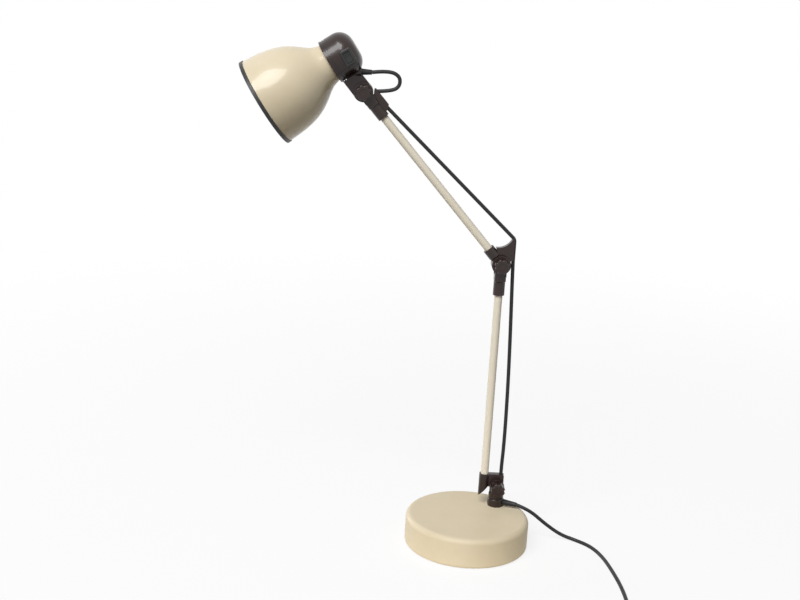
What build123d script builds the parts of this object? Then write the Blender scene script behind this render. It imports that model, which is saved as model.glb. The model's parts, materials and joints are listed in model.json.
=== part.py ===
from build123d import *
import os
from math import cos, pi, radians, sin, tan

# Articulated desk lamp, millimetres, +Z up. The origin is the middle of the pad that it stands on.
# The arms swing in a plane parallel to XZ, and the head reaches towards -X.

# Base drum
base_d = 185.0
base_h = 46.0
base_wall = 2.0
base_top_round = 8.0
base_low_round = 4.0
base_lift = 1.0
pad_inset = 12.5
pad_t = 1.5
plate_t = 2.5
plate_gap = 0.3
weight_gap = 12.5
weight_t = 22.0
stud_inset = 18.0
stud_d = 10.0
stud_angles = (101.0, 221.0, 341.0)
screw_d = 4.0
screw_head_d = 8.4
screw_head_h = 2.2
screw_bite = 11.0

# Foot and swivel, set off to one side of the drum
foot_from_side = 46.5
foot_from_rear = 52.5
foot_d = 25.0
foot_h = 12.0
foot_tail_d = 18.0
foot_tail_drop = 11.0
foot_nut_af = 26.0
foot_nut_h = 6.0
spigot_d = 12.0
spigot_bore_d = 6.0
clip_d = 20.0
clip_t = 1.9
turret_d = 23.0
deck_gap = 0.7
spigot_over = 0.5

# Clamped hinges, all three alike: tongue, friction washers, cheeks, bolt, knob
tongue_t = 9.0
cheek_t = 4.5
friction_t = 1.0
friction_d = 22.0
bolt_d = 6.0
bolt_head_af = 10.0
bolt_head_h = 4.0
bolt_chamfer = 0.6
bolt_into_knob = 8.0
bolt_end_room = 0.5
front_washer_d = 16.0
front_washer_t = 1.2
knob_d = 22.0
knob_t = 11.0
knob_flutes = 8
knob_flute_d = 6.0
knob_flute_depth = 1.6
knob_round = 1.2
knob_dish_d = 11.0
knob_dish_depth = 1.0

# Fits
run_gap = 0.05
face_gap = 0.1
cut_over = 1.0

# Arms
base_pivot_up = 19.0
base_cheek_r = 11.3
arm_cheek_r = 14.0
cheek_clear = 1.0
tube_d = 12.0
tube_wall = 1.0
tube_back = 20.0
socket_wall = 2.0
socket_h = 20.0
socket_floor = 3.0
web_round = 3.0
heel_drop = 15.0
heel_rise = 18.0
elbow_z = 425.0
upper_length = 320.0
upper_rise = 48.3
ferrule_d = 17.0
yoke_drop = 15.2
yoke_h = 11.0
yoke_round = 4.0
yoke_chamfer = 1.5
fork_ferrule = 20.0
ferrule_bury = 2.0
tongue_neck_w = 14.0
tongue_ferrule_start = 15.0
tongue_ferrule_end = 30.0
tongue_tube_start = 20.0

# Head: the shade's length is measured from its mouth, and the rest follows from the neck
head_tilt = 34.0
mouth_d = 128.0
shade_l = 108.0
shade_wall = 1.2
shade_bell = ((0.28, 0.94), (0.55, 0.737), (0.765, 0.355), (0.885, 0.113))
shade_mouth_lean = -0.02
shade_neck_lean = -0.36
trim_w = 4.0
trim_lip = 1.2
trim_gap = 0.2
trim_soft = 0.45
neck_d = 54.0
neck_to_collar = 2.0
collar_t = 1.0
collar_draw = 0.5
collar_gap = 0.5
holder_d = 39.0
holder_reach = 13.0
holder_end_t = 17.0
holder_round = 3.0
holder_flange_d = 54.0
holder_flange_t = 3.0
holder_bore_d = 27.2
ring_d = 49.0
ring_t = 4.0
cap_d = 64.0
cap_straight = 21.0
cap_dome = 22.0
cap_back_d = 24.0
cap_wall = 2.5
cap_shelf_t = 4.0
shelf_gap = 2.0
cap_groove_d = 1.0
cap_groove_w = 1.6
cap_groove_pitch = 3.2
holder_screw_r = 24.2
holder_screw_d = 3.0
holder_screw_l = 8.0
bulb_d = 45.0
bulb_reach = 32.0
bulb_shoulder = 48.6
bulb_neck_d = 25.0
bulb_neck_l = 4.0
bulb_sink = 2.0
bulb_wall = 1.0
bulb_cap_d = 26.4
bulb_cap_l = 22.0
bulb_cap_chamfer = 3.0
bulb_tip_d = 9.0
bulb_tip_l = 3.9
pivot_behind = 19.0
pivot_off = 58.5
lug_bury = 4.0
lug_front_in = 1.5
lug_rear_in = 29.0

# Rocker switch on the cap's side
switch_behind = 27.0
switch_off = 5.0
switch_out = 34.5
switch_w = 18.0
switch_l = 12.0
switch_depth = 9.5
bezel_lip = 1.5
bezel_t = 1.2
bezel_round = 2.0
bezel_edge = 0.5
boss_lip = 2.5
boss_round = 3.0
boss_edge = 1.0
rocker_w = 14.0
rocker_l = 8.6
rocker_gap = 0.35
rocker_low = 1.5
rocker_high = 2.2
rocker_dip = 1.4
rocker_axle_d = 1.6
rocker_axle_l = 11.0
rocker_rest = 7.0
rocker_room = 3.3

# Cord
cord_d = 5.5
cord_seat = 0.1
gland_d = 9.2
gland_tip_d = 6.8
gland_neck_d = 7.0
lead_gland_l = 21.0
lead_gland_up = 7.0
lead_heading = -24.8
head_gland_l = 15.0
head_gland_off = 33.3
head_gland_behind = 31.0
gland_neck_l = 5.0
guide_r = 8.0
guide_out = 17.5
guide_up = 38.0
guide_end_up = 6.0
fin_root_x = -9.0
fin_root_z = 25.0
fin_sag = 5.0
fin_lip = 1.0
anchor_x = 17.0
anchor_root = 19.0
anchor_top = 6.0
anchor_nose = 1.5
anchor_drop = 40.0
anchor_chamfer = 4.0
anchor_skin = 1.5
anchor_t = 9.0
cord_bury = 6.0
cord_boss_x = 5.0
cord_boss_d = 8.8
cord_boss_h = 12.0
coil_r = 41.0
coil_pitch = 6.0
coil_layer = 6.0
coil_half_turns = 6
coil_floor = 1.8
coil_x = 209.0
coil_y = -252.0
cord_join = 0.1
cord_part = 0.4
cord_end_up = 1.0
corner_share = 0.45
lead_floor = 0.25
tie_w = 8.0
tie_t = 1.2
tie_round = 2.0
tie_gap = 0.3
tie_side_gap = 0.8
plug_w = 35.3
plug_t = 13.7
plug_l = 36.0
plug_rear_w = 13.0
plug_grip_l = 19.8
plug_round = 3.0
plug_edge = 1.8
pin_d = 4.0
pin_tip = 1.6
pin_l = 19.0
pin_spacing = 18.6
pin_root = 8.0
tail_l = 46.0
tail_level = 12.0
tail_drop_end = 32.0

# Worked-out places
cord_r = cord_d / 2
pad_d = base_d - 2 * pad_inset
weight_d = base_d - 2 * base_wall - 2 * weight_gap
stud_circle_r = weight_d / 2 - stud_inset
foot_x = base_d / 2 - foot_from_side
foot_y = base_d / 2 - foot_from_rear
arm_y = foot_y
coil_z = coil_floor + cord_r
plate_z = pad_t
weight_z = plate_z + plate_t
weight_top = weight_z + weight_t
foot_top = base_h + foot_h
cover_under = base_h - base_wall
tail_z = base_h - foot_tail_drop
stack_half = tongue_t / 2 + face_gap + friction_t + cheek_t
base_pivot = Vector(foot_x, arm_y, foot_top + base_pivot_up)
tube_x = foot_x - tube_back
elbow = Vector(tube_x, arm_y, elbow_z)
guide_x = elbow.X + guide_out
guide_z = elbow.Z + guide_up
guide_end_z = elbow.Z + guide_end_up
upper_dir = Vector(-cos(radians(upper_rise)), 0, sin(radians(upper_rise)))
head_pivot = elbow + upper_dir * upper_length
collar_at = shade_l + neck_to_collar
holder_front = collar_at - holder_reach
bulb_seam = holder_front + bulb_sink
bulb_middle = bulb_seam - bulb_reach
bulb_cap_end = bulb_seam + bulb_cap_l
holder_bore_end = bulb_cap_end + bulb_tip_l + face_gap
holder_back = holder_bore_end + holder_end_t
cap_straight_end = shade_l + cap_straight
cap_back = cap_straight_end + cap_dome
pivot_along = shade_l + pivot_behind
switch_along = shade_l + switch_behind
head_axis = Vector(cos(radians(head_tilt)), 0, sin(radians(head_tilt)))
head_side = Vector(sin(radians(head_tilt)), 0, -cos(radians(head_tilt)))
mouth = head_pivot - head_axis * pivot_along - head_side * pivot_off
head_plane = Plane(origin=mouth, x_dir=head_side, z_dir=head_axis)
head_gland_at = head_plane.from_local_coords(Vector(head_gland_off, 0, shade_l + head_gland_behind))
upper_side = Vector(upper_dir.Z, 0, -upper_dir.X)

BOTTOM = (Align.CENTER, Align.CENTER, Align.MIN)
parts = {}


def rod(d, z0, z1):
    return Pos(0, 0, z0) * Cylinder(d / 2, z1 - z0, align=BOTTOM)


def ring(d, bore, z0, z1):
    return rod(d, z0, z1) - rod(bore, z0, z1)


def taper(d0, d1, z0, z1):
    return Pos(0, 0, z0) * Cone(d0 / 2, d1 / 2, z1 - z0, align=BOTTOM)


def hexagon(across_flats, z0, z1):
    outline = RegularPolygon(across_flats / 2, 6, major_radius=False)
    return extrude(Pos(0, 0, z0) * outline, z1 - z0)


def prism(outline, y0, y1):
    # An outline drawn in X and Z, given its thickness along Y
    plane = Plane(origin=(0, y0, 0), x_dir=(1, 0, 0), z_dir=(0, -1, 0))
    return extrude(plane * outline, -(y1 - y0))


def along_y(d, y0, y1):
    return prism(Circle(d / 2), y0, y1)


def frame_at(origin, z_dir):
    # A frame whose Y stays the row's Y
    z = Vector(z_dir)
    return Plane(origin=origin, x_dir=Vector(z.Z, 0, -z.X), z_dir=z)


def spun(*edges):
    return revolve(Plane.XZ * make_face(Curve() + list(edges)), Axis.Z)


def route(points, name, radii=None):
    # Straight runs joined by arcs as large as the runs allow
    places = [Vector(*p) for p in points]
    runs = [b - a for a, b in zip(places, places[1:])]
    if radii is None:
        radii = []
        for before, after in zip(runs, runs[1:]):
            half_turn = radians(before.get_angle(after)) / 2
            radii.append(corner_share * min(before.length, after.length) / tan(half_turn))
    print(name, "radii", [round(r, 1) for r in radii])
    return FilletPolyline(*places, radius=radii)


def tube_along(path, d):
    section = Plane(origin=path @ 0, z_dir=path % 0) * Circle(d / 2)
    return sweep(section, path=path)


def cord_along(path, name):
    solid = tube_along(path, cord_d)
    share = solid.volume / (pi * cord_r**2 * path.length)
    print(name, "length", round(path.length, 1), "volume share", round(share, 4))
    return solid


# Base drum


def stud_places():
    return [Rot(0, 0, a) * Pos(stud_circle_r, 0, 0) for a in stud_angles]


def rounded_drum(d, z0, z1, low_round, top_round):
    drum = rod(d, z0, z1)
    drum = fillet(drum.edges().sort_by(Axis.Z)[-1], top_round)
    return fillet(drum.edges().sort_by(Axis.Z)[0], low_round)


def base_cover():
    low = base_lift + base_wall
    outside = rounded_drum(base_d, base_lift, base_h, base_low_round, base_top_round)
    inside = rounded_drum(
        base_d - 2 * base_wall, low, cover_under, base_low_round - base_wall, base_top_round - base_wall
    )
    shell = outside - inside - rod(base_d - 2 * base_low_round, base_lift, low)
    for place in stud_places():
        shell += place * rod(stud_d, weight_top, cover_under)
        shell -= place * rod(screw_d + 2 * run_gap, weight_top, weight_top + screw_bite + cut_over)
    return shell - Pos(foot_x, foot_y, 0) * rod(foot_tail_d + 2 * run_gap, cover_under, base_h)


def plate_screw():
    head = taper(screw_head_d, screw_d, plate_z, plate_z + screw_head_h)
    return head + rod(screw_d, plate_z, weight_top + screw_bite)


def base_plate():
    plate = rod(base_d - 2 * base_low_round - 2 * plate_gap, plate_z, weight_z)
    for place in stud_places():
        bore = screw_d + 2 * run_gap
        plate -= place * taper(screw_head_d + 2 * run_gap, bore, plate_z, plate_z + screw_head_h)
        plate -= place * rod(bore, plate_z, weight_z)
    return plate


def base_weight():
    weight = rod(weight_d, weight_z, weight_top)
    weight = chamfer(weight.edges().sort_by(Axis.Z)[-1], base_wall)
    for place in stud_places():
        weight -= place * rod(screw_d + 2 * run_gap, weight_z, weight_top)
    return weight


def base_pad():
    return rod(pad_d, 0, pad_t) - [p * rod(screw_head_d, 0, pad_t) for p in stud_places()]


def build_base():
    parts["base_cover"] = base_cover()
    parts["base_weight"] = base_weight()
    parts["base_plate"] = base_plate()
    parts["base_pad"] = base_pad()
    parts["plate_screws"] = Compound([p * plate_screw() for p in stud_places()])


# Foot, turret and the lead's gland


def gland(length):
    # Along Z: a neck sits in the housing, and the sleeve tapers outwards
    body = rod(gland_neck_d, -gland_neck_l, 0) + taper(gland_d, gland_tip_d, 0, length)
    return body - rod(cord_d + 2 * run_gap, -gland_neck_l, length)


def lead_gland_frame():
    heading = Vector(cos(radians(lead_heading)), sin(radians(lead_heading)), 0)
    start = Vector(foot_x, foot_y, base_h + lead_gland_up) + heading * (foot_d / 2)
    return Plane(origin=start, z_dir=heading)


def build_foot():
    at_foot = Pos(foot_x, foot_y, 0)
    socket = rod(foot_d, base_h, foot_top)
    socket = fillet(socket.edges().sort_by(Axis.Z)[-1], base_wall)
    socket += rod(foot_tail_d, tail_z, base_h)
    socket = at_foot * (socket - rod(spigot_d + 2 * run_gap, tail_z, foot_top))
    flat = lead_gland_frame() * rod(foot_d, 0, foot_d)
    neck = lead_gland_frame() * rod(gland_neck_d + 2 * run_gap, -gland_neck_l - run_gap, cut_over)
    parts["foot_socket"] = socket - flat - neck
    nut = hexagon(foot_nut_af, cover_under - foot_nut_h, cover_under)
    nut -= rod(foot_tail_d + 2 * run_gap, cover_under - foot_nut_h, cover_under)
    parts["foot_nut"] = at_foot * nut
    parts["lead_gland"] = lead_gland_frame() * gland(lead_gland_l)
    clip_top = tail_z - face_gap
    parts["swivel_clip"] = at_foot * ring(clip_d, spigot_d + 2 * run_gap, clip_top - clip_t, clip_top)


def build_turret():
    # Drawn with the base pivot at the origin
    deck = -(base_cheek_r + deck_gap)
    under = -base_pivot_up + face_gap
    spigot_end = tail_z - face_gap - clip_t - spigot_over - base_pivot.Z
    body = cheeks(base_cheek_r, -under)
    body += rod(turret_d, under, deck)
    body &= rod(turret_d, under, base_cheek_r * 2)
    body += rod(spigot_d, spigot_end, under)
    body -= rod(spigot_bore_d, spigot_end, deck)
    parts["turret_fork"] = Pos(*base_pivot) * (body - hinge_bore())


# Hinge pieces, drawn with the pivot at the origin and the hinge along Y


def hinge_bore():
    return along_y(bolt_d + 2 * run_gap, -stack_half - cut_over, stack_half + cut_over)


def cheeks(radius, reach):
    outline = Circle(radius) + Pos(0, -reach / 2) * Rectangle(2 * radius, reach)
    inner = stack_half - cheek_t
    return prism(outline, inner, stack_half) + prism(outline, -stack_half, -inner)


def hinge_bolt():
    turn = Rot(-90, 0, 0)
    head = turn * hexagon(bolt_head_af, stack_half, stack_half + bolt_head_h)
    head = chamfer(head.faces().sort_by(Axis.Y)[-1].edges(), bolt_chamfer)
    end = stack_half + front_washer_t + face_gap + bolt_into_knob
    return head + along_y(bolt_d, -end, stack_half)


def hinge_washers():
    inner = stack_half - cheek_t - friction_t
    bore = bolt_d + 2 * run_gap
    pads = [along_y(friction_d, y, y + friction_t) - along_y(bore, y, y + friction_t)
            for y in (inner, -inner - friction_t)]
    front = -stack_half - front_washer_t
    plain = along_y(front_washer_d, front, -stack_half) - along_y(bore, front, -stack_half)
    return Compound(pads + [plain])


def hinge_knob():
    back = -stack_half - front_washer_t - face_gap
    flute_at = knob_d / 2 + knob_flute_d / 2 - knob_flute_depth
    outline = Circle(knob_d / 2) - PolarLocations(flute_at, knob_flutes) * Circle(knob_flute_d / 2)
    knob = prism(outline, back - knob_t, back)
    knob = fillet(knob.faces().sort_by(Axis.Y)[0].edges(), knob_round)
    dish = along_y(knob_dish_d, back - knob_t, back - knob_t + knob_dish_depth)
    return knob - dish - along_y(bolt_d + 2 * run_gap, back - bolt_into_knob - bolt_end_room, back)


def arm_fork():
    # The arm comes up from -Z, and the cheeks stand on its yoke
    low = -(yoke_drop + yoke_h)
    yoke = extrude(Pos(0, 0, low) * RectangleRounded(ferrule_d, 2 * stack_half, yoke_round), yoke_h)
    yoke = chamfer(yoke.faces().sort_by(Axis.Z)[0].edges(), yoke_chamfer)
    body = cheeks(arm_cheek_r, yoke_drop + ferrule_bury)
    narrow = extrude(Pos(0, 0, low) * Rectangle(ferrule_d, 2 * stack_half), -low)
    body = (body & (narrow + along_y(2 * arm_cheek_r, -stack_half, stack_half))) + yoke
    body += rod(ferrule_d, low - fork_ferrule, low + ferrule_bury)
    body -= rod(tube_d + 2 * run_gap, low - fork_ferrule, low + yoke_h / 2)
    return body - hinge_bore()


def fork_tube_end():
    # How far short of the pivot a tube ends inside its fork
    return yoke_drop + yoke_h / 2


def build_hinges():
    elbow_at = Pos(*elbow)
    head_at = frame_at(head_pivot, upper_dir)
    spots = {"base": Pos(*base_pivot), "elbow": elbow_at, "head": Pos(*head_pivot)}
    for name, spot in spots.items():
        parts[f"{name}_bolt"] = spot * hinge_bolt()
        parts[f"{name}_washers"] = spot * hinge_washers()
        parts[f"{name}_knob"] = spot * hinge_knob()
    parts["elbow_fork"] = elbow_at * arm_fork()
    parts["head_fork"] = head_at * head_fork()


# Arms


def raked_socket():
    # The socket's heel slopes up towards the pivot, so that it passes the turret as the arm leans over
    r = tube_d / 2 + socket_wall
    steep = heel_rise / (2 * r)
    left = -r - cut_over
    right = r + cut_over
    below = -heel_drop - cut_over * steep
    under = Polyline((left, below), (right, below + steep * (right - left)), (right, below), close=True)
    return rod(2 * r, -heel_drop, socket_h) - prism(make_face(under), -right, right)


def lower_knuckle():
    # Drawn with the base pivot at the origin: the tube stands behind the pivot
    tongue = Circle(base_cheek_r)
    web_w = tube_back + cord_boss_x + cord_boss_d / 2
    web = Pos(-tube_back + web_w / 2, socket_h / 2) * RectangleRounded(web_w, socket_h, web_round)
    body = prism(tongue + web, -tongue_t / 2, tongue_t / 2)
    at_tube = Pos(-tube_back, 0, 0)
    at_cord = Pos(cord_boss_x, 0, 0)
    body += at_tube * raked_socket()
    body += at_cord * rod(cord_boss_d, socket_h - cord_boss_h, socket_h)
    body -= at_tube * rod(tube_d + 2 * run_gap, socket_floor, socket_h)
    body -= at_cord * rod(cord_d + 2 * cord_seat, socket_h - cord_boss_h, socket_h)
    return body - hinge_bore()


def hollow_tube(z0, z1):
    return ring(tube_d, tube_d - 2 * tube_wall, z0, z1)


def fin_outline():
    # Drawn from the elbow pivot: the cord bends round its tip and runs down its outer edge
    tip = Vector(guide_x - elbow.X, guide_z - elbow.Z)
    foot = guide_end_z - elbow.Z
    into = taut_direction()
    reach = guide_r * tan(radians(into.get_angle(Vector(0, 0, -1))) / 2)
    low = (tip.X, tip.Y - reach)
    high = (tip.X - into.X * reach, tip.Y - into.Z * reach)
    edge = Line((tip.X, foot), low)
    nose = TangentArc(low, high, tangent=(0, 1))
    root = (fin_root_x, fin_root_z)
    hollow = SagittaArc(high, root, fin_sag)
    heel = Polyline(root, (0, 0), (arm_cheek_r - fin_lip, 0), (tip.X - cord_r - fin_lip, foot), (tip.X, foot))
    return make_face(Curve() + [edge, nose, hollow, heel])


def anchor_mouth():
    # Where the taut cord leaves the head fork, on the arm's upper side
    return head_pivot - upper_dir * anchor_drop + upper_side * (anchor_x - cord_r - anchor_skin)


def taut_direction():
    return (Vector(guide_x, arm_y, guide_z) - anchor_mouth()).normalized()


def upper_cord_path():
    corner = Vector(guide_x, arm_y, guide_z)
    start = anchor_mouth() - taut_direction() * cord_bury
    end = Vector(guide_x, arm_y, guide_end_z)
    return route([start, corner, end], "upper_cord", [guide_r])


def elbow_tongue():
    body = prism(Circle(arm_cheek_r), -tongue_t / 2, tongue_t / 2)
    body += prism(fin_outline(), -tongue_t / 2, tongue_t / 2)
    arm = frame_at((0, 0, 0), upper_dir)
    body += arm * rod(ferrule_d, tongue_ferrule_start, tongue_ferrule_end)
    body += arm * extrude(Rectangle(tongue_neck_w, tongue_t), tongue_ferrule_start + ferrule_bury)
    body -= arm * rod(tube_d + 2 * run_gap, tongue_tube_start, tongue_ferrule_end)
    return Pos(*elbow) * (body - hinge_bore())


def head_fork():
    # A fork with the cord's anchor on its upper side
    body = arm_fork()
    nose = anchor_x - anchor_nose
    low = -anchor_drop
    outline = Polyline(
        (0, -anchor_root), (nose, -anchor_top), (anchor_x, -anchor_top - anchor_nose),
        (anchor_x, low + anchor_chamfer), (anchor_x - anchor_chamfer, low), (0, low - anchor_chamfer),
        close=True,
    )
    anchor = prism(make_face(outline), -anchor_t / 2, anchor_t / 2)
    anchor -= along_y(2 * arm_cheek_r + 2 * cheek_clear, -stack_half, stack_half)
    anchor -= rod(tube_d + 2 * run_gap, -yoke_drop - yoke_h - fork_ferrule, -yoke_drop - yoke_h / 2)
    return body + anchor


def build_arms():
    knuckle = Pos(*base_pivot) * lower_knuckle()
    parts["lower_knuckle"] = knuckle
    tube_low = base_pivot.Z + socket_floor
    parts["lower_tube"] = Pos(tube_x, arm_y, 0) * hollow_tube(tube_low, elbow.Z - fork_tube_end())
    arm = frame_at(elbow, upper_dir)
    parts["upper_tube"] = arm * hollow_tube(tongue_tube_start, upper_length - fork_tube_end())
    taut = upper_cord_path()
    parts["upper_cord"] = cord_along(taut, "upper_cord")
    groove = tube_along(taut, cord_d + 2 * cord_seat)
    parts["elbow_tongue"] = elbow_tongue() - groove
    parts["head_fork"] -= groove


# Head, drawn along Z from the shade's mouth, with X towards the lug


def cap_profile(inset):
    r = cap_d / 2 - inset
    back = cap_back - inset
    back_r = cap_back_d / 2
    low = Line((0, shade_l), (r, shade_l))
    side = Line((r, shade_l), (r, cap_straight_end))
    round_r = r - back_r
    rise = back - cap_straight_end
    middle = (back_r + round_r * sin(pi / 4), cap_straight_end + rise * sin(pi / 4))
    dome = ThreePointArc((r, cap_straight_end), middle, (back_r, back))
    top = Polyline((back_r, back), (0, back), (0, shade_l))
    return spun(low, side, dome, top)


def holder_screw_places():
    return [Rot(0, 0, a) * Pos(holder_screw_r, 0, 0) for a in (90, 270)]


def switch_frame():
    # Z points out of the cap's side, X along the rocker
    at = head_plane.from_local_coords(Vector(switch_off, -switch_out, switch_along))
    return Plane(origin=at, x_dir=head_side, z_dir=(0, -1, 0))


def socket_cap():
    solid = cap_profile(0)
    cavity = cap_profile(cap_wall)
    buried = cap_d / 2 - lug_bury
    neck = Polyline(
        (buried, shade_l + lug_front_in), (pivot_off, pivot_along - arm_cheek_r),
        (pivot_off, pivot_along + arm_cheek_r), (buried, shade_l + lug_rear_in), close=True,
    )
    lug = make_face(neck) + Pos(pivot_off, pivot_along) * Circle(arm_cheek_r)
    solid += prism(lug, -tongue_t / 2, tongue_t / 2)
    to_local = head_plane.location.inverse()
    boss = RectangleRounded(switch_w + 2 * boss_lip, switch_l + 2 * boss_lip, boss_round)
    boss = extrude(boss, -switch_depth)
    solid += to_local * (switch_frame() * fillet(boss.faces().sort_by(Axis.Z)[-1].edges(), boss_edge))
    shelf_z = collar_at + collar_t + holder_flange_t
    shelf = ring(cap_d - cap_wall, holder_d + 2 * shelf_gap, shelf_z, shelf_z + cap_shelf_t)
    gland_seat = to_local * (head_gland_frame() * rod(gland_d + 2 * cap_wall, -gland_neck_l * 2, 0))
    solid = solid + gland_seat - cavity + shelf
    for step in range(2):
        z = shade_l + cap_groove_pitch * (1 + step)
        solid -= ring(cap_d + cut_over, cap_d - 2 * cap_groove_d, z, z + cap_groove_w)
    pocket = extrude(Rectangle(switch_w + 2 * run_gap, switch_l + 2 * run_gap), -switch_depth * 2, both=True)
    solid -= to_local * (switch_frame() * pocket)
    for place in holder_screw_places():
        solid -= place * rod(holder_screw_d + 2 * run_gap, shelf_z, shelf_z + cap_shelf_t)
    solid -= Pos(pivot_off, 0, pivot_along) * hinge_bore()
    world = head_plane.location * solid
    world -= head_gland_frame() * rod(gland_d + 2 * face_gap, 0, head_gland_l)
    return world - head_gland_frame() * rod(gland_neck_d + 2 * run_gap, -gland_neck_l * 2, 0)


def head_gland_frame():
    return Plane(origin=head_gland_at, z_dir=(1, 0, 0))


def lampholder():
    flange_z = collar_at + collar_t
    body = rod(holder_d, holder_front, holder_back)
    body = fillet(body.edges().sort_by(Axis.Z)[-1], holder_round)
    body += rod(holder_flange_d, flange_z, flange_z + holder_flange_t)
    body -= rod(holder_bore_d, holder_front, holder_bore_end)
    for place in holder_screw_places():
        body -= place * rod(holder_screw_d + 2 * run_gap, flange_z, flange_z + holder_flange_t)
    return body


def shade_edge(inset):
    # Half of the bell, from the mouth to the neck
    r = mouth_d / 2 - inset
    n = neck_d / 2 - inset
    bends = [(n + (r - n) * wide, shade_l * along) for along, wide in shade_bell]
    leans = [(shade_mouth_lean, 1), (shade_neck_lean, 1)]
    return Spline((r, 0), *bends, (n, shade_l), tangents=leans)


def shade():
    outer = shade_edge(0)
    inner = shade_edge(shade_wall)
    n = neck_d / 2
    hole = holder_d / 2 + collar_gap
    drawn = n - collar_draw
    collar_end = collar_at + collar_t
    top = Polyline((n, shade_l), (drawn, collar_end), (hole, collar_end), (hole, collar_at),
                   (drawn - shade_wall, collar_at), (n - shade_wall, shade_l))
    low = Line((mouth_d / 2 - shade_wall, 0), (mouth_d / 2, 0))
    return spun(outer, top, inner, low)


def shade_trim():
    # A soft edging pushed over the mouth's edge, with a lip inside and a lip outside
    groove_d = mouth_d + 2 * trim_gap
    groove_bore = mouth_d - 2 * shade_wall - 2 * trim_gap
    low = -trim_gap - trim_lip
    body = ring(groove_d + 2 * trim_lip, groove_bore - 2 * trim_lip, low, trim_w)
    body = fillet(body.edges().filter_by(GeomType.CIRCLE), trim_lip * trim_soft)
    return body - ring(groove_d, groove_bore, -trim_gap, trim_w)


def bulb_glass():
    def outline(inset):
        r = bulb_d / 2 - inset
        n = bulb_neck_d / 2 - inset
        tip = bulb_middle - r
        turn = radians(bulb_shoulder)
        shoulder = (r * cos(turn), bulb_middle + r * sin(turn))
        ball = ThreePointArc((0, tip), (r, bulb_middle), shoulder)
        return ball, Polyline(shoulder, (n, bulb_seam - bulb_neck_l), (n, bulb_seam))
    outer = outline(0)
    inner = outline(bulb_wall)
    axis = Line((0, bulb_middle - bulb_d / 2), (0, bulb_middle - bulb_d / 2 + bulb_wall))
    rim = Line((bulb_neck_d / 2 - bulb_wall, bulb_seam), (bulb_neck_d / 2, bulb_seam))
    return spun(*outer, rim, *inner, axis)


def bulb_cap():
    cap = rod(bulb_cap_d, bulb_seam, bulb_cap_end)
    cap = chamfer(cap.edges().sort_by(Axis.Z)[-1], bulb_cap_chamfer)
    return cap + rod(bulb_tip_d, bulb_seam, bulb_cap_end + bulb_tip_l)


def switch_body():
    body = extrude(Rectangle(switch_w, switch_l), -switch_depth)
    rim = RectangleRounded(switch_w + 2 * bezel_lip, switch_l + 2 * bezel_lip, bezel_round)
    bezel = extrude(rim, bezel_t)
    body += fillet(bezel.faces().sort_by(Axis.Z)[-1].outer_wire().edges(), bezel_edge)
    pocket = Rectangle(rocker_w + 4 * rocker_gap, rocker_l + 2 * rocker_gap)
    body -= extrude(Pos(0, 0, -rocker_room) * pocket, rocker_room + bezel_t)
    axle = Rot(90, 0, 0) * Cylinder(rocker_axle_d / 2 + run_gap, rocker_axle_l + 2 * run_gap)
    return switch_frame() * (body - axle)


def switch_rocker():
    half = rocker_w / 2
    outline = Polyline((-half, -rocker_low), (half, -rocker_low), (half, rocker_high), (0, rocker_dip),
                       (-half, rocker_high), close=True)
    rocker = extrude(Plane.XZ * make_face(outline), rocker_l / 2, both=True)
    rocker += Rot(90, 0, 0) * Cylinder(rocker_axle_d / 2, rocker_axle_l)
    return switch_frame() * (Rot(0, rocker_rest, 0) * rocker)


def head_cord_points():
    # Out of the gland, over and back under into the fork's anchor, placed from the head pivot
    bends = [(33.9, 31.1), (50.4, 24.3), (50.9, 10.2), (39.9, 2.9), (18.9, 1.6)]
    start = head_gland_at + Vector(head_gland_l, 0, 0)
    return [start] + [head_pivot + Vector(x, 0, z) for x, z in bends]


def build_head():
    place = head_plane.location
    parts["socket_cap"] = socket_cap()
    parts["lampholder"] = place * lampholder()
    parts["shade"] = place * shade()
    parts["shade_trim"] = place * shade_trim()
    parts["shade_ring"] = place * ring(ring_d, holder_d + 2 * run_gap, collar_at - ring_t, collar_at)
    parts["bulb_glass"] = place * bulb_glass()
    parts["bulb_cap"] = place * bulb_cap()
    screw_z = collar_at + collar_t
    screw = rod(holder_screw_d, screw_z, screw_z + holder_screw_l)
    parts["holder_screws"] = Compound([place * (p * screw) for p in holder_screw_places()])
    parts["switch_body"] = switch_body()
    parts["switch_rocker"] = switch_rocker()
    parts["head_gland"] = head_gland_frame() * gland(head_gland_l)
    loop = route(head_cord_points(), "head_cord")
    parts["head_cord"] = cord_along(loop, "head_cord")
    parts["head_fork"] -= tube_along(loop, cord_d + 2 * cord_seat)


# Cord beside the lower arm, and the lead with its put-away coil and plug


def lower_cord_points():
    # The bow is measured across from the knuckle's cord boss
    x = foot_x + cord_boss_x
    y = arm_y
    bow = [(-5.8, 386), (-2.8, 318), (-0.4, 250), (0.9, 182), (0.9, 136), (0, 112)]
    start = (guide_x, y, guide_end_z - cord_part)
    end = (x, y, base_pivot.Z + socket_h - cord_boss_h + cord_end_up)
    return [start] + [(x + across, y, z) for across, z in bow] + [end]


def lead_points():
    start = lead_gland_frame().from_local_coords(Vector(0, 0, lead_gland_l))
    low = cord_r + lead_floor
    return [start, (95.5, 18.3, 49.2), (121.5, 18.3, 27.4), (148, 21, 8.6), (170, 17, low), (191, -4, low),
            (203, -38, low), (209, -82, low), (213, -130, low), (212.5, -176, low),
            (coil_x, -214, coil_z), (coil_x, coil_y + cord_d, coil_z)]


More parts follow.
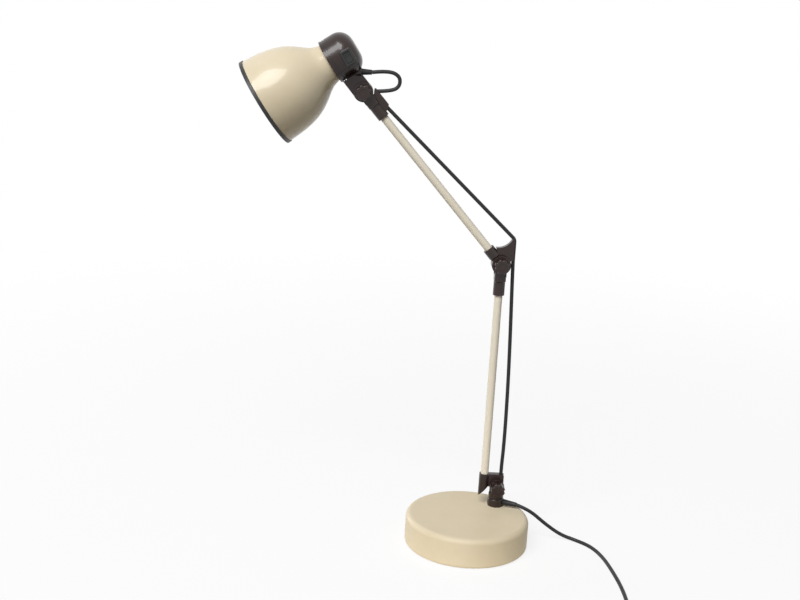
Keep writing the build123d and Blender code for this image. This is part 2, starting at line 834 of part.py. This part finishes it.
def coil_path():
    # Half turns that shrink by half a pitch, one tilted half turn up a layer, then out again
    x, y, z = coil_x, coil_y, coil_z
    edges = [Line((x, y + cord_d, z), (x, y, z))]
    side = -1
    radii = [coil_r - coil_pitch / 2 * i for i in range(coil_half_turns + 1)]
    for r in radii + radii[-2::-1]:
        climb = coil_layer if r == radii[-1] else 0
        far = x + 2 * r * side
        if r == coil_r and z > coil_z:
            half_way = (x - r + r * cos(pi / 4), y - r * sin(pi / 4), z)
            edges.append(ThreePointArc((x, y, z), half_way, (x - r, y - r, z)))
            edges.append(Line((x - r, y - r, z), (x - r - cord_d, y - r, z)))
            break
        top = ((x + far) / 2, y + side * r, z + climb / 2)
        edges.append(ThreePointArc((x, y, z), top, (far, y, z + climb)))
        x, z, side = far, z + climb, -side
    return Wire(edges)


def least_gap(path, count=900):
    # The least distance between turns, less the cord's own diameter
    step = path.length / count
    skip = int(4 * cord_d / step)
    spots = [path @ (i / count) for i in range(count + 1)]
    near = min((a - b).length for i, a in enumerate(spots) for b in spots[i + skip:])
    return near - cord_d


def coil_tie():
    # A flat band round the coil's turns, on the side away from the lead
    spread = coil_half_turns / 2 * coil_pitch
    width = spread + cord_d + 2 * tie_side_gap
    height = coil_layer + cord_d + 2 * tie_gap
    band = RectangleRounded(width + 2 * tie_t, height + 2 * tie_t, tie_round + tie_t)
    band -= RectangleRounded(width, height, tie_round)
    x, y, z = coil_x, coil_y, coil_z
    middle = x - 2 * coil_r + spread / 2
    return Pos(middle, y, z + coil_layer / 2) * prism(band, -tie_w / 2, tie_w / 2)


def plug_frame(path):
    end = path @ 1
    level = plug_t / 2
    return Plane(origin=(end.X - tail_l, end.Y, level), x_dir=(0, 1, 0), z_dir=(-1, 0, 0))


def plug_body():
    outline = Polyline((-plug_rear_w / 2, 0), (plug_rear_w / 2, 0), (plug_w / 2, plug_grip_l),
                       (plug_w / 2, plug_l), (-plug_w / 2, plug_l), (-plug_w / 2, plug_grip_l), close=True)
    body = prism(make_face(outline), -plug_t / 2, plug_t / 2)
    body = fillet(body.edges().filter_by(Axis.Y), plug_round)
    faces = body.faces().filter_by(Axis.Y)
    body = fillet(faces.edges(), plug_edge)
    for x in (-pin_spacing / 2, pin_spacing / 2):
        body -= Pos(x, 0, 0) * rod(pin_d + 2 * run_gap, plug_l - pin_root, plug_l)
    return body


def plug_pin():
    pin = rod(pin_d, plug_l - pin_root + face_gap, plug_l + pin_l)
    return fillet(pin.edges().sort_by(Axis.Z)[-1], pin_tip)


def build_lead():
    fall = route(lower_cord_points(), "lower_cord")
    parts["lower_cord"] = cord_along(fall, "lower_cord")
    run = route(lead_points(), "lead_run")
    parts["lead_run"] = cord_along(run, "lead_run")
    coil = coil_path()
    print("coil least gap to itself", round(least_gap(coil), 2))
    parts["lead_coil"] = cord_along(coil, "lead_coil")
    parts["coil_tie"] = coil_tie()
    at = plug_frame(coil)
    end = coil @ 1
    level = plug_t / 2
    tail = route([
        end - Vector(cord_join, 0, 0), (end.X - tail_level, end.Y, end.Z),
        (end.X - tail_drop_end, end.Y, level), (end.X - tail_l, end.Y, level),
    ], "lead_tail")
    parts["lead_tail"] = cord_along(tail, "lead_tail")
    parts["plug_body"] = at * plug_body()
    sides = (-pin_spacing / 2, pin_spacing / 2)
    parts["plug_pins"] = Compound([at * (Pos(x, 0, 0) * plug_pin()) for x in sides])


build_base()
build_foot()
build_turret()
build_hinges()
build_arms()
build_head()
build_lead()

os.makedirs("parts", exist_ok=True)
for name, solid in parts.items():
    export_step(solid, f"parts/{name}.step")
print(len(parts), "nodes; base pivot", base_pivot, "elbow", elbow, "head pivot", head_pivot, "mouth", mouth)
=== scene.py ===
import json
import math
import bpy
from mathutils import Matrix, Vector


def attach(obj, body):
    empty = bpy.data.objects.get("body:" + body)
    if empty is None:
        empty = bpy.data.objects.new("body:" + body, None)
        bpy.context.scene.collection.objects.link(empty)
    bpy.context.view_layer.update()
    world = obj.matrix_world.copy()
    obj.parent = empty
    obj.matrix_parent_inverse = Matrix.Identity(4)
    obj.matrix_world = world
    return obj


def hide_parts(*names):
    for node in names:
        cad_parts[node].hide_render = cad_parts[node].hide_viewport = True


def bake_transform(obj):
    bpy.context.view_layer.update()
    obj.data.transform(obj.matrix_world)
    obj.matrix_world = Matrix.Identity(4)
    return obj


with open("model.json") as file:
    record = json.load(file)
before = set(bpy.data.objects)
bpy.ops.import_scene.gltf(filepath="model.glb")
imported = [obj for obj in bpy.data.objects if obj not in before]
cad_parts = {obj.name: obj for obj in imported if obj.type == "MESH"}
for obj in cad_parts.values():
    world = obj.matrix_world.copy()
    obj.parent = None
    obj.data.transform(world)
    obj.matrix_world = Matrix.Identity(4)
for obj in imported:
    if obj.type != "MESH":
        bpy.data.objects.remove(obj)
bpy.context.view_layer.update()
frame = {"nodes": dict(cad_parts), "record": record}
lampNodes = frame["nodes"]
print("frame loaded:", len(lampNodes), "nodes")


# colours are written as they look on a screen, 0 to 255
def screen(red, green, blue):
    def light(value):
        value /= 255
        return value / 12.92 if value <= 0.04045 else ((value + 0.055) / 1.055) ** 2.4
    return (light(red), light(green), light(blue), 1.0)


class Wire:
    # one socket of a node tree; sums on it add Math nodes
    def __init__(self, tree, socket=None):
        self.tree = tree
        self.socket = socket

    def node(self, kind, settings=None, sockets=None, out=0):
        made = self.tree.nodes.new(kind)
        for key, value in (settings or {}).items():
            setattr(made, key, value)
        for key, value in (sockets or {}).items():
            self.feed(made.inputs[key], value)
        return Wire(self.tree, made.outputs[out])

    def feed(self, socket, value):
        if isinstance(value, Wire):
            self.tree.links.new(value.socket, socket)
        else:
            socket.default_value = value

    def sums(self, operation, *values):
        return self.node("ShaderNodeMath", {"operation": operation}, dict(enumerate(values)))

    def __add__(self, other):
        return self.sums("ADD", self, other)

    def __radd__(self, other):
        return self.sums("ADD", other, self)

    def __sub__(self, other):
        return self.sums("SUBTRACT", self, other)

    def __rsub__(self, other):
        return self.sums("SUBTRACT", other, self)

    def __mul__(self, other):
        return self.sums("MULTIPLY", self, other)

    def __rmul__(self, other):
        return self.sums("MULTIPLY", other, self)

    def orElse(self, other):
        # the larger of the two
        return self.sums("MAXIMUM", self, other)

    def rise(self, low, high):
        # 0 below low, 1 above high, smooth between
        settings = {"interpolation_type": "SMOOTHSTEP"}
        return self.node("ShaderNodeMapRange", settings, {"Value": self, "From Min": low, "From Max": high})

    def tint(self, under, over):
        # under where this is 0, over where it is 1
        return self.node("ShaderNodeMix", {"data_type": "RGBA"}, {0: self, 6: under, 7: over}, 2)


# camera, fitted to the photograph
viewpoint = {"at": (-0.182912, -1.740292, 0.824157), "tilt": 14.4998, "pan": 2.0737, "roll": 3.3,
             "lens": 56.25, "sensor": 36.0, "farthest": 200}


def placeCamera():
    data = bpy.data.cameras.new("camera")
    data.lens = viewpoint["lens"]
    data.sensor_width = viewpoint["sensor"]
    data.sensor_fit = "HORIZONTAL"
    data.clip_end = viewpoint["farthest"]
    camera = bpy.data.objects.new("camera", data)
    bpy.context.collection.objects.link(camera)
    pan = Matrix.Rotation(math.radians(-viewpoint["pan"]), 4, "Z")
    tilt = Matrix.Rotation(math.radians(90 - viewpoint["tilt"]), 4, "X")
    roll = Matrix.Rotation(math.radians(viewpoint["roll"]), 4, "Z")
    camera.matrix_world = Matrix.Translation(viewpoint["at"]) @ pan @ tilt @ roll
    bpy.context.scene.camera = camera


placeCamera()
print("camera placed")

# cord routes in millimetres, in the lamp's own frame
perMetre = 1000
cordSize = {"across": 5.5, "sides": 5}
cordAcross = cordSize["across"] / perMetre
armPlane = 40.0


def inMetres(point):
    return tuple(value / perMetre for value in point)


def inArmPlane(points):
    return [(x, armPlane, z) for x, z in points]


def cordCurve(name, points, steps, thick):
    data = bpy.data.curves.new(name, "CURVE")
    data.dimensions = "3D"
    data.resolution_u = steps
    if thick:
        data.bevel_depth = cordAcross / 2
        data.bevel_resolution = cordSize["sides"]
        data.use_fill_caps = True
    spline = data.splines.new("NURBS")
    spline.points.add(len(points) - 1)
    for place, point in zip(spline.points, points):
        place.co = (*inMetres(point), 1)
    spline.order_u = 3
    spline.use_endpoint_u = True
    piece = bpy.data.objects.new(name, data)
    bpy.context.collection.objects.link(piece)
    return piece


def meshOf(curve):
    bpy.context.view_layer.update()
    graph = bpy.context.evaluated_depsgraph_get()
    return bpy.data.meshes.new_from_object(curve.evaluated_get(graph))


def cordTube(name, points, steps):
    # a mesh tube, and the line that it follows
    line = cordCurve(name + "Line", points, steps, False)
    path = [tuple(v.co) for v in meshOf(line).vertices]
    solid = cordCurve(name + "Solid", points, steps, True)
    mesh = meshOf(solid)
    bpy.data.objects.remove(line)
    bpy.data.objects.remove(solid)
    tube = bpy.data.objects.new(name, mesh)
    bpy.context.collection.objects.link(tube)
    for face in mesh.polygons:
        face.use_smooth = True
    return tube, path


# lengths are in metres; a cord that crosses a hinge has its two bend points listed
headLoop = {"route": inArmPlane([(-176.02, 691.53), (-152.97, 695.02), (-136.47, 688.22),
                                 (-135.97, 674.12), (-146.97, 666.82), (-167.97, 665.52)]),
            "length": 0.0864, "steps": 14,
            "bendFrom": (-178.6, armPlane, 693.2), "bendTo": (-158.5, armPlane, 680.1)}
upperRun = {"route": inArmPlane([(-155.15, 646.61), (19.3, 485.4), (37.6, 468.4), (43.5, 463),
                                 (43.5, 455), (43.5, 431)]),
            "length": 0.3021, "steps": 8}
lowerRun = {"route": inArmPlane([(43.5, 430.6), (45.2, 386), (48.2, 318), (50.6, 250), (51.9, 182),
                                 (51.9, 136), (51, 112), (51, 86)]),
            "length": 0.3448, "steps": 28,
            "bendFrom": (43.5, armPlane, 434), "bendTo": (44.6, armPlane, 396)}
mainsLead = {"run": [(76.41, 25.95, 53), (95.5, 18.3, 49.2), (121.5, 18.3, 27.4), (148, 21, 8.6),
                     (170, 17, 3), (191, -4, 3), (203, -38, 3), (209, -82, 3), (213, -130, 3),
                     (212.5, -176, 3), (209, -214, 4.55), (209, -246.5, 4.55)],
             "tail": [(162.5, -293, 10.55), (150.5, -293, 10.55), (130.5, -293, 6.85), (116.5, -293, 6.85)],
             "length": 1.711, "steps": 6}
# half turns of the coil: their radius, and the heights of its two layers
leadCoil = {"from": (209, -252), "low": 4.55, "high": 10.55, "inward": (41, 38, 35, 32, 29, 26),
            "climb": 23, "outward": (26, 29, 32, 35, 38, 41), "pointsAcross": 6}


def coilPoints():
    x, y = leadCoil["from"]
    low, high = leadCoil["low"], leadCoil["high"]
    step = math.pi / leadCoil["pointsAcross"]
    lowTurns = [(radius, low, low) for radius in leadCoil["inward"]]
    climbTurn = [(leadCoil["climb"], low, high)]
    highTurns = [(radius, high, high) for radius in leadCoil["outward"]]
    turns = lowTurns + climbTurn + highTurns
    points = []
    side = 1
    for index, (radius, start, end) in enumerate(turns):
        middle = x - side * radius
        isLast = index == len(turns) - 1
        count = leadCoil["pointsAcross"] // (2 if isLast else 1)  # the tail leaves the last one half way
        for k in range(count):
            angle = (k + 0.5) * step
            reach = radius / math.cos(step / 2)
            across = side * reach * math.cos(angle)
            height = start + (end - start) * (1 - math.cos(angle)) / 2
            points.append((middle + across, y - side * reach * math.sin(angle), height))
        x = middle - side * radius
        side = -side
    return points


headCord, headPath = cordTube("headCord", headLoop["route"], headLoop["steps"])
lowerCord, lowerPath = cordTube("lowerCord", lowerRun["route"], lowerRun["steps"])
upperCord, upperPath = cordTube("upperCord", upperRun["route"], upperRun["steps"])
leadRoute = mainsLead["run"] + coilPoints() + mainsLead["tail"]
lead, leadPath = cordTube("lead", leadRoute, mainsLead["steps"])
cordPieces = [headCord, upperCord, lowerCord, lead]

inMetres(headLoop["bendFrom"])
inMetres(headLoop["bendTo"])
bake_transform(headCord)
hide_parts("head_cord")
inMetres(headLoop["route"][0])
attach(upperCord, "upper_arm")
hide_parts("upper_cord")
inMetres(upperRun["route"][0])
inMetres(lowerRun["bendFrom"])
inMetres(lowerRun["bendTo"])
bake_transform(lowerCord)
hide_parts("lower_cord")
inMetres(lowerRun["route"][0])
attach(lead, "base")
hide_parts("lead_run", "lead_coil", "lead_tail")
inMetres(mainsLead["run"][0])
print("cords laid:", len(cordPieces))


# finishes
def newFinish(name, fixed):
    finish = bpy.data.materials.new(name)
    finish.use_nodes = True
    tree = finish.node_tree
    shader = tree.nodes["Principled BSDF"]
    for socket, value in fixed.items():
        shader.inputs[socket].default_value = value
    return finish, shader, Wire(tree)


def layer(waves, detail=2.0, rough=0.5, low=-1.0, high=1.0, stretch=None):
    # one noise over a surface: waves a metre, and between which values it starts and ends to show
    return {"waves": waves, "detail": detail, "rough": rough, "low": low, "high": high, "stretch": stretch}


def grain(wire, at, noise):
    # a layer's noise, about -1 to 1
    if noise["stretch"]:
        at = wire.node("ShaderNodeVectorMath", {"operation": "MULTIPLY"}, {0: at, 1: noise["stretch"]})
    made = wire.node("ShaderNodeTexNoise", {"noise_dimensions": "3D"},
                     {"Vector": at, "Scale": noise["waves"], "Detail": noise["detail"],
                      "Roughness": noise["rough"]})
    return (made - 0.5) * 2


def patches(wire, at, noise):
    # a layer as soft patches, 0 to 1
    return grain(wire, at, noise).rise(noise["low"], noise["high"])


def relief(wire, shader, height, depth):
    bump = wire.node("ShaderNodeBump", None, {"Height": height, "Distance": depth, "Strength": 1.0})
    wire.feed(shader.inputs["Normal"], bump)


def placesOn(wire):
    # the lamp's own frame at rest, whatever the pose
    return wire.node("ShaderNodeTexCoord", out="Object")


def facing(wire):
    return wire.node("ShaderNodeTexCoord", out="Normal")


def dot(wire, first, second):
    return wire.node("ShaderNodeVectorMath", {"operation": "DOT_PRODUCT"}, {0: first, 1: second}, "Value")


def less(wire, first, second):
    return wire.node("ShaderNodeVectorMath", {"operation": "SUBTRACT"}, {0: first, 1: second})


enamel = {"colour": screen(221, 207, 178), "aged": screen(211, 194, 158), "pale": screen(229, 218, 195),
          "gloss": 0.3, "coat": 0.32}
# the arm tubes: the same cream paint, coloured paler here as a painted highlight along them, and given a
# shinier coat
tubePaintAndHighlight = {"colour": screen(236, 227, 208), "aged": screen(227, 214, 190), "pale": screen(241, 234, 219),
             "gloss": 0.26, "coat": 0.6}
# the drum's paint is more of a satin
drumPaint = {"colour": screen(221, 207, 179), "aged": screen(212, 196, 163), "pale": screen(228, 216, 192),
             "gloss": 0.5, "coat": 0.04}
# all the paints: broad ageing, a fine mottle, rubbed patches in the gloss, and a faint orange peel
paintCoats = {"lacquer": {"Coat Roughness": 0.08, "IOR": 1.5, "Specular IOR Level": 0.25},
              "ageing": layer(14, 3, 0.5, -0.35, 0.75), "ageingShare": 0.55,
              "mottle": layer(95, 4, 0.6, -0.2, 0.9), "mottleShare": 0.35,
              "rubbed": layer(48, 5, 0.65, 0.05, 0.75), "rubbedGloss": 0.14,
              "finePeel": layer(320, 1.5), "fineShare": 0.6,
              "broadPeel": layer(150), "broadShare": 0.4, "peelDepth": 0.00001}


def enamelLayers(wire, at, paint):
    aged = patches(wire, at, paintCoats["ageing"]) * paintCoats["ageingShare"]
    mottle = patches(wire, at, paintCoats["mottle"]) * paintCoats["mottleShare"]
    colour = mottle.tint(aged.tint(paint["colour"], paint["aged"]), paint["pale"])
    rubbed = patches(wire, at, paintCoats["rubbed"])
    gloss = paint["gloss"] + rubbed * paintCoats["rubbedGloss"]
    return colour, gloss


def enamelPeel(wire, shader, at):
    fine = grain(wire, at, paintCoats["finePeel"]) * paintCoats["fineShare"]
    broad = grain(wire, at, paintCoats["broadPeel"]) * paintCoats["broadShare"]
    relief(wire, shader, fine + broad, paintCoats["peelDepth"])


def creamEnamel(name, paint):
    finish, shader, wire = newFinish(name, paintCoats["lacquer"])
    at = placesOn(wire)
    colour, gloss = enamelLayers(wire, at, paint)
    wire.feed(shader.inputs["Base Color"], colour)
    wire.feed(shader.inputs["Roughness"], gloss)
    shader.inputs["Coat Weight"].default_value = paint["coat"]
    enamelPeel(wire, shader, at)
    return finish


# the bell's mouth and axis, its lining, the browning round the bulb and the handled rim
shadeSkin = {"mouth": (-0.324874, 0.04, 0.641405), "axis": (0.829038, 0, 0.559193), "turnOver": 0.002,
             "lining": screen(236, 231, 217), "liningGloss": 0.2,
             "singe": screen(214, 200, 170), "singeReach": (0.03, 0.1), "singeCloud": layer(30, 4),
             "singeEven": 0.6, "singeUneven": 0.4,
             "rim": 0.012, "handled": layer(70, 5, 0.65, -0.1, 0.6), "handledShare": 0.5,
             "handledGloss": 0.08}


def shadeEnamel():
    # cream outside, a paler lining that has browned a little round the bulb
    finish, shader, wire = newFinish("shadeEnamel", paintCoats["lacquer"])
    at = placesOn(wire)
    colour, gloss = enamelLayers(wire, at, enamel)
    out = less(wire, at, shadeSkin["mouth"])
    along = dot(wire, out, shadeSkin["axis"])
    onAxis = wire.node("ShaderNodeVectorMath", {"operation": "SCALE"},
                       {0: shadeSkin["axis"], "Scale": along})
    outward = dot(wire, facing(wire), less(wire, out, onAxis))
    inside = 1 - outward.rise(-shadeSkin["turnOver"], shadeSkin["turnOver"])
    cloud = shadeSkin["singeEven"] + grain(wire, at, shadeSkin["singeCloud"]) * shadeSkin["singeUneven"]
    singed = along.rise(*shadeSkin["singeReach"]) * cloud
    lining = singed.tint(shadeSkin["lining"], shadeSkin["singe"])
    nearRim = 1 - along.rise(0.0, shadeSkin["rim"])
    handled = nearRim * patches(wire, at, shadeSkin["handled"])
    skin = (handled * shadeSkin["handledShare"]).tint(colour, enamel["aged"])
    wire.feed(shader.inputs["Base Color"], inside.tint(skin, lining))
    dulled = inside * shadeSkin["liningGloss"] + handled * shadeSkin["handledGloss"]
    wire.feed(shader.inputs["Roughness"], gloss + dulled)
    wire.feed(shader.inputs["Coat Weight"], enamel["coat"] * (1 - inside))
    enamelPeel(wire, shader, at)
    return finish


finishes = {"cream_paint": creamEnamel("creamEnamel", enamel)}
print("enamel mixed")

# moulded phenolic: a faint swirl in the colour, dust in it, fine scuffs in the gloss
brown = {"colour": screen(42, 29, 27), "swirl": screen(58, 39, 34), "dark": screen(28, 20, 20), "gloss": 0.3,
         "fixed": {"Coat Weight": 0.28, "Coat Roughness": 0.12, "IOR": 1.5, "Specular IOR Level": 0.3},
         "warpWaves": 60.0, "warp": (0.012, 0.012, 0.012),
         "swirls": layer(130, 3, 0.6, -0.1, 0.8), "swirlShare": 0.6,
         "dust": layer(420, 4, 0.7, 0.15, 0.9), "dustShare": 0.3,
         "scuffs": layer(190, 6, 0.7, 0.1, 0.8, (1.0, 1.0, 0.25)), "scuffGloss": 0.18,
         "fineSkin": layer(500), "fineShare": 0.4, "broadSkin": layer(120), "broadShare": 0.6,
         "skinDepth": 0.00001}


def brownPlastic():
    finish, shader, wire = newFinish("brownPlastic", brown["fixed"])
    at = placesOn(wire)
    warp = wire.node("ShaderNodeTexNoise", None, {"Vector": at, "Scale": brown["warpWaves"]}, "Color")
    bent = wire.node("ShaderNodeVectorMath", {"operation": "MULTIPLY_ADD"},
                     {0: warp, 1: brown["warp"], 2: at})
    swirl = patches(wire, bent, brown["swirls"]) * brown["swirlShare"]
    dust = patches(wire, at, brown["dust"]) * brown["dustShare"]
    colour = dust.tint(swirl.tint(brown["colour"], brown["swirl"]), brown["dark"])
    wire.feed(shader.inputs["Base Color"], colour)
    scuffs = patches(wire, at, brown["scuffs"])
    wire.feed(shader.inputs["Roughness"], brown["gloss"] + scuffs * brown["scuffGloss"])
    fine = grain(wire, at, brown["fineSkin"]) * brown["fineShare"]
    broad = grain(wire, at, brown["broadSkin"]) * brown["broadShare"]
    relief(wire, shader, fine + broad, brown["skinDepth"])
    return finish


black = {"colour": screen(24, 26, 26), "worn": screen(44, 45, 44), "gloss": 0.38, "fixed": {"IOR": 1.5},
         "wear": layer(160, 5, 0.65, 0.0, 0.9), "wearShare": 0.5,
         "smears": layer(310, 4, 0.5, -0.3, 0.8), "smearGloss": 0.2,
         "skin": layer(900), "skinDepth": 0.000008}


def blackPlastic():
    finish, shader, wire = newFinish("blackPlastic", black["fixed"])
    at = placesOn(wire)
    worn = patches(wire, at, black["wear"]) * black["wearShare"]
    wire.feed(shader.inputs["Base Color"], worn.tint(black["colour"], black["worn"]))
    smears = patches(wire, at, black["smears"])
    wire.feed(shader.inputs["Roughness"], black["gloss"] + smears * black["smearGloss"])
    relief(wire, shader, grain(wire, at, black["skin"]), black["skinDepth"])
    return finish


sheath = {"colour": screen(30, 31, 32), "dusty": screen(52, 52, 51), "gloss": 0.45,
          "fixed": {"IOR": 1.48, "Specular IOR Level": 0.35},
          "dust": layer(85, 5, 0.6, 0.0, 0.9), "dustShare": 0.5,
          "smears": layer(240, 3, 0.5, -0.4, 0.8), "smearGloss": 0.2,
          "skin": layer(600, 3), "skinDepth": 0.000012}


def cordSheath():
    finish, shader, wire = newFinish("cordSheath", sheath["fixed"])
    at = placesOn(wire)
    dust = patches(wire, at, sheath["dust"]) * sheath["dustShare"]
    wire.feed(shader.inputs["Base Color"], dust.tint(sheath["colour"], sheath["dusty"]))
    smears = patches(wire, at, sheath["smears"])
    wire.feed(shader.inputs["Roughness"], sheath["gloss"] + smears * sheath["smearGloss"])
    relief(wire, shader, grain(wire, at, sheath["skin"]), sheath["skinDepth"])
    return finish


finishes["brown_plastic"] = brownPlastic()
finishes["black_plastic"] = blackPlastic()
finishes["cord_sheath"] = cordSheath()
print("plastics mixed")

zinc = {"colour": screen(176, 176, 174), "dull": screen(134, 132, 127), "gloss": 0.3,
        "fixed": {"Metallic": 1.0}, "dulling": layer(130, 5, 0.65, -0.2, 0.8), "dullShare": 0.7,
        "dullGloss": 0.2, "skin": layer(600, 3), "skinDepth": 0.000008}


def zincSteel():
    finish, shader, wire = newFinish("zincSteel", zinc["fixed"])
    at = placesOn(wire)
    dull = patches(wire, at, zinc["dulling"])
    wire.feed(shader.inputs["Base Color"], (dull * zinc["dullShare"]).tint(zinc["colour"], zinc["dull"]))
    wire.feed(shader.inputs["Roughness"], zinc["gloss"] + dull * zinc["dullGloss"])
    relief(wire, shader, grain(wire, at, zinc["skin"]), zinc["skinDepth"])
    return finish


felt = {"colour": screen(66, 60, 55), "fibre": screen(92, 84, 76), "gloss": 0.85, "fibreGloss": 0.12,
        "fixed": {"Sheen Weight": 0.3, "Sheen Roughness": 0.5},
        "fibres": layer(900, 6, 0.75, -0.4, 0.6), "fibreDepth": 0.00012}


def feltPad():
    finish, shader, wire = newFinish("feltPad", felt["fixed"])
    at = placesOn(wire)
    fibre = patches(wire, at, felt["fibres"])
    wire.feed(shader.inputs["Base Color"], fibre.tint(felt["colour"], felt["fibre"]))
    wire.feed(shader.inputs["Roughness"], felt["gloss"] + fibre * felt["fibreGloss"])
    relief(wire, shader, fibre, felt["fibreDepth"])
    return finish


iron = {"colour": screen(62, 60, 58), "rust": screen(84, 62, 48), "gloss": 0.62, "rustGloss": 0.25,
        "fixed": {"Metallic": 0.6}, "rusting": layer(70, 5, 0.7, 0.1, 0.7), "rustShare": 0.7,
        "skin": layer(350, 5, 0.7), "skinDepth": 0.0001}


def castIron():
    finish, shader, wire = newFinish("castIron", iron["fixed"])
    at = placesOn(wire)
    rust = patches(wire, at, iron["rusting"])
    wire.feed(shader.inputs["Base Color"], (rust * iron["rustShare"]).tint(iron["colour"], iron["rust"]))
    wire.feed(shader.inputs["Roughness"], iron["gloss"] + rust * iron["rustGloss"])
    relief(wire, shader, grain(wire, at, iron["skin"]), iron["skinDepth"])
    return finish


opal = {"colour": screen(240, 238, 230), "warm": screen(232, 226, 212), "gloss": 0.2, "cloudGloss": 0.1,
        "fixed": {"Coat Weight": 0.8, "Coat Roughness": 0.04, "IOR": 1.5,
                  "Subsurface Weight": 0.25, "Subsurface Scale": 0.004},
        "clouds": layer(60, 3, 0.5, -0.4, 0.7)}


def opalGlass():
    finish, shader, wire = newFinish("opalGlass", opal["fixed"])
    at = placesOn(wire)
    cloud = patches(wire, at, opal["clouds"])
    wire.feed(shader.inputs["Base Color"], cloud.tint(opal["colour"], opal["warm"]))
    wire.feed(shader.inputs["Roughness"], opal["gloss"] + cloud * opal["cloudGloss"])
    return finish


bulbCap = {"colour": screen(190, 170, 120), "dull": screen(150, 128, 84), "gloss": 0.28}
plugPins = {"colour": screen(196, 192, 182), "dull": screen(158, 152, 140), "gloss": 0.24}
rolled = {"fixed": {"Metallic": 1.0}, "tarnish": layer(170, 5, 0.6, -0.2, 0.8), "tarnishGloss": 0.18,
          "skin": layer(600), "skinDepth": 0.000006}


def rolledMetal(name, metal):
    finish, shader, wire = newFinish(name, rolled["fixed"])
    at = placesOn(wire)
    tarnish = patches(wire, at, rolled["tarnish"])
    wire.feed(shader.inputs["Base Color"], tarnish.tint(metal["colour"], metal["dull"]))
    wire.feed(shader.inputs["Roughness"], metal["gloss"] + tarnish * rolled["tarnishGloss"])
    relief(wire, shader, grain(wire, at, rolled["skin"]), rolled["skinDepth"])
    return finish


finishes["plain_steel"] = zincSteel()
finishes["felt"] = feltPad()
finishes["iron"] = castIron()
finishes["bulb_glass"] = opalGlass()
finishes["cap_metal"] = rolledMetal("brassCap", bulbCap)
finishes["pin_metal"] = rolledMetal("nickelPins", plugPins)
print("metals, glass and felt mixed")


def dress(piece, finish):
    piece.data.materials.clear()
    piece.data.materials.append(finish)


for part in frame["record"]["subparts"]:
    dress(lampNodes[part["node"]], finishes[part["material_slot"]])
dress(lampNodes["shade"], shadeEnamel())
# the tubes take the paler copy of the cream paint: its paler colour is a painted highlight
tubeEnamelAndHighlight = creamEnamel("tubeEnamelAndHighlight", tubePaintAndHighlight)
for tube in ("lower_tube", "upper_tube"):
    dress(lampNodes[tube], tubeEnamelAndHighlight)
dress(lampNodes["base_cover"], creamEnamel("drumEnamel", drumPaint))
for cordPiece in cordPieces:
    dress(cordPiece, finishes["cord_sheath"])

# a white table: its warm bounce dims over the sheet distances, and it turns all white over the fade distances
table = {"half": 30.0, "colour": (0.9, 0.9, 0.9, 1), "bounce": (0.85, 0.79, 0.67, 1),
         "dim": (0.06, 0.055, 0.045, 1), "sheet": (0.17, 0.6), "white": 0.82, "fade": (0.5, 2.2),
         "fixed": {"Roughness": 0.9, "Specular IOR Level": 0.2}}
white = (1, 1, 1, 1)


def seenBare(wire):
    # 1 for what the camera sees, also in gloss and through glass
    def ray(kind):
        return wire.node("ShaderNodeLightPath", out=kind)
    return ray("Is Camera Ray").orElse(ray("Is Glossy Ray").orElse(ray("Is Transmission Ray")))


def layTable():
    half = table["half"]
    corners = [(-half, -half, 0), (half, -half, 0), (half, half, 0), (-half, half, 0)]
    mesh = bpy.data.meshes.new("table")
    mesh.from_pydata(corners, [], [(0, 1, 2, 3)])
    top = bpy.data.objects.new("table", mesh)
    bpy.context.collection.objects.link(top)
    finish, shader, wire = newFinish("tableTop", table["fixed"])
    seen = seenBare(wire)
    reach = wire.node("ShaderNodeVectorMath", {"operation": "LENGTH"}, {0: placesOn(wire)}, "Value")
    bounce = reach.rise(*table["sheet"]).tint(table["bounce"], table["dim"])
    wire.feed(shader.inputs["Base Color"], seen.tint(bounce, table["colour"]))
    away = reach.rise(*table["fade"])
    glow = wire.node("ShaderNodeEmission", None, {"Color": white, "Strength": 1.0})
    plain = Wire(wire.tree, shader.outputs[0])
    share = seen * (table["white"] + away * (1 - table["white"]))
    mixed = wire.node("ShaderNodeMixShader", None, {0: share, 1: plain, 2: glow})
    wire.feed(wire.tree.nodes["Material Output"].inputs["Surface"], mixed)
    mesh.materials.append(finish)


# soft studio light: power in watts, size and places in metres
softLight = {"keyLight": {"at": (-2.8, -5.0, 6.4), "power": 745, "size": 5.0},
             "fillLight": {"at": (1.8, -1.6, 1.2), "power": 2, "size": 1.8},
             "backLight": {"at": (-3.0, 2.8, 0.9), "power": 55, "size": 1.6}}
lightAim = (0, 0, 0.35)
worldLight = 0.1


def hangLight(name, light):
    data = bpy.data.lights.new(name, "AREA")
    data.energy = light["power"]
    data.size = light["size"]
    lamp = bpy.data.objects.new(name, data)
    bpy.context.collection.objects.link(lamp)
    lamp.location = light["at"]
    aim = Vector(lightAim) - Vector(light["at"])
    lamp.rotation_euler = aim.to_track_quat("-Z", "Y").to_euler()


def lightWorld():
    world = bpy.data.worlds.new("studio")
    bpy.context.scene.world = world
    world.use_nodes = True
    wire = Wire(world.node_tree)
    back = world.node_tree.nodes["Background"]
    back.inputs["Color"].default_value = white
    wire.feed(back.inputs["Strength"], worldLight + seenBare(wire) * (1 - worldLight))


layTable()
for lightName, light in softLight.items():
    hangLight(lightName, light)
lightWorld()
bpy.context.scene.view_settings.view_transform = "Standard"
print("table and lights set")

bpy.context.view_layer.update()
